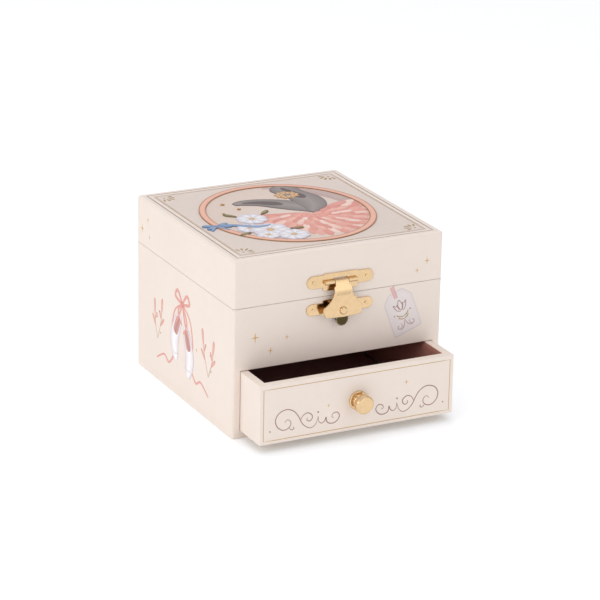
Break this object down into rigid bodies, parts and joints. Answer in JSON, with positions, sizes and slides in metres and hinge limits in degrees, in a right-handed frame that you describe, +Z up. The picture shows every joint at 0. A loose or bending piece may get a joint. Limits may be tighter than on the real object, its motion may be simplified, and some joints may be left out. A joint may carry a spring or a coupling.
{
  "type": "ballerina jewellery box",
  "caption": "Paper-covered musical jewellery box with hinged lid, brass clasp, open drawer and a folding dancer turned by a spring movement.",
  "frame": {"origin": "centre of the cabinet's underside, on the surface it stands on", "axes": "+X to the viewer's right, +Y towards the hinged back, +Z up"},
  "size_m": [0.115, 0.1635, 0.092],
  "materials": {
    "board": "raw fibreboard",
    "cream_paper": "printed matt paper",
    "felt": "short flocked felt",
    "dark_felt": "dark brown flocked paper",
    "mirror_glass": "bright",
    "plated_brass": "bright plated",
    "dark_brass": "antiqued knurled",
    "movement_brass": "machined",
    "steel": "ground",
    "spring_steel": "blued",
    "movement_plastic": "moulded",
    "dancer_plastic": "painted",
    "tulle": "stiff tulle"
  },
  "bodies": {
    "cabinet": {"base_board": "board", "left_wall": "board", "right_wall": "board", "back_wall": "board", "front_panel": "board", "drawer_shelf": "board", "body_paper": "cream_paper", "tray_lining": "felt", "movement_walls": "board", "deck": "board", "deck_lining": "felt", "body_hinge_leaves": "plated_brass", "hinge_pins": "plated_brass", "cabinet_nails": "plated_brass", "catch_plate": "plated_brass", "bedplate": "movement_brass", "front_bracket": "movement_brass", "governor_bracket": "movement_brass", "barrel_bracket": "movement_brass", "comb_block": "movement_brass", "comb": "steel", "movement_screws": "steel"},
    "lid": {"lid_top_board": "board", "lid_front_rail": "board", "lid_back_rail": "board", "lid_left_rail": "board", "lid_right_rail": "board", "lid_paper": "cream_paper", "lid_lining": "felt", "lid_mirror": "mirror_glass", "lid_hinge_leaves": "plated_brass", "lid_nails": "plated_brass", "hasp_plate": "plated_brass", "hasp_pin": "plated_brass"},
    "hasp": {"hasp_flap": "plated_brass", "hasp_rivet": "plated_brass"},
    "tab": {"thumb_tab": "dark_brass"},
    "drawer": {"drawer_front": "board", "drawer_back": "board", "drawer_left_side": "board", "drawer_right_side": "board", "drawer_bottom": "board", "drawer_paper": "cream_paper", "drawer_lining": "dark_felt", "knob": "plated_brass", "knob_screw": "steel"},
    "barrel": {"barrel_drum": "movement_brass", "barrel_cap": "movement_brass", "mainspring": "spring_steel"},
    "winder": {"winding_arbor": "steel", "winding_key": "steel"},
    "cylinder": {"pin_cylinder": "movement_brass"},
    "governor": {"governor_gear": "movement_brass"},
    "fly": {"fly_worm": "movement_plastic"},
    "spindle": {"spindle": "movement_plastic", "ballerina_spring": "spring_steel"},
    "dancer": {"ballerina_figure": "dancer_plastic", "tutu": "tulle"},
    "stop_wire": {"stop_wire": "steel"}
  },
  "joints": [
    {"name": "lid_hinge", "type": "hinge", "parent": "cabinet", "child": "lid", "pos_m": [0, 0.059, 0.0673], "axis": [-1, 0, 0], "range_deg": [0, 95]},
    {"name": "drawer_slide", "type": "slide", "parent": "cabinet", "child": "drawer", "axis": [0, -1, 0], "range_m": [-0.0219, 0.055]},
    {"name": "hasp_swing", "type": "hinge", "parent": "lid", "child": "hasp", "pos_m": [0, -0.0591, 0.0746], "axis": [-1, 0, 0], "range_deg": [0, 150]},
    {"name": "tab_turn", "type": "hinge", "parent": "hasp", "child": "tab", "pos_m": [0, -0.0606, 0.0603], "axis": [0, -1, 0], "range_deg": [-70, 70]},
    {"name": "key_wind", "type": "hinge", "parent": "cabinet", "child": "winder", "pos_m": [-0.012, 0.06, 0.0497], "axis": [0, 1, 0], "continuous": true},
    {"name": "barrel_spin", "type": "hinge", "parent": "cabinet", "child": "barrel", "pos_m": [-0.012, 0.045, 0.0497], "axis": [0, 1, 0], "continuous": true},
    {"name": "cylinder_spin", "type": "hinge", "parent": "cabinet", "child": "cylinder", "pos_m": [0, 0.024, 0.0497], "axis": [0, 1, 0], "continuous": true},
    {"name": "governor_spin", "type": "hinge", "parent": "cabinet", "child": "governor", "pos_m": [-0.01, 0.019, 0.0497], "axis": [0, 1, 0], "continuous": true},
    {"name": "fly_spin", "type": "hinge", "parent": "cabinet", "child": "fly", "pos_m": [-0.0152, 0.023, 0.05], "axis": [0, 0, 1], "continuous": true},
    {"name": "spindle_spin", "type": "hinge", "parent": "cabinet", "child": "spindle", "pos_m": [0, 0.001, 0.058], "axis": [0, 0, 1], "continuous": true},
    {"name": "dancer_fold", "type": "hinge", "parent": "spindle", "child": "dancer", "pos_m": [0, 0.001, 0.0669], "axis": [-1, 0, 0], "range_deg": [0, 70.01], "deforming": ["ballerina_spring"]},
    {"name": "stop_wire_lift", "type": "slide", "parent": "cabinet", "child": "stop_wire", "axis": [0, 0, 1], "range_m": [0, 0.0015]}
  ],
  "couplings": [
    {"joint": "cylinder_spin", "follows": "barrel_spin", "ratio": -3},
    {"joint": "governor_spin", "follows": "barrel_spin", "ratio": 12},
    {"joint": "fly_spin", "follows": "barrel_spin", "ratio": -216},
    {"joint": "spindle_spin", "follows": "barrel_spin", "ratio": 0.83333},
    {"joint": "dancer_fold", "follows": "lid_hinge", "ratio": 0.73684},
    {"joint": "stop_wire_lift", "follows": "lid_hinge", "m_per_rad": 0.00090467}
  ]
}
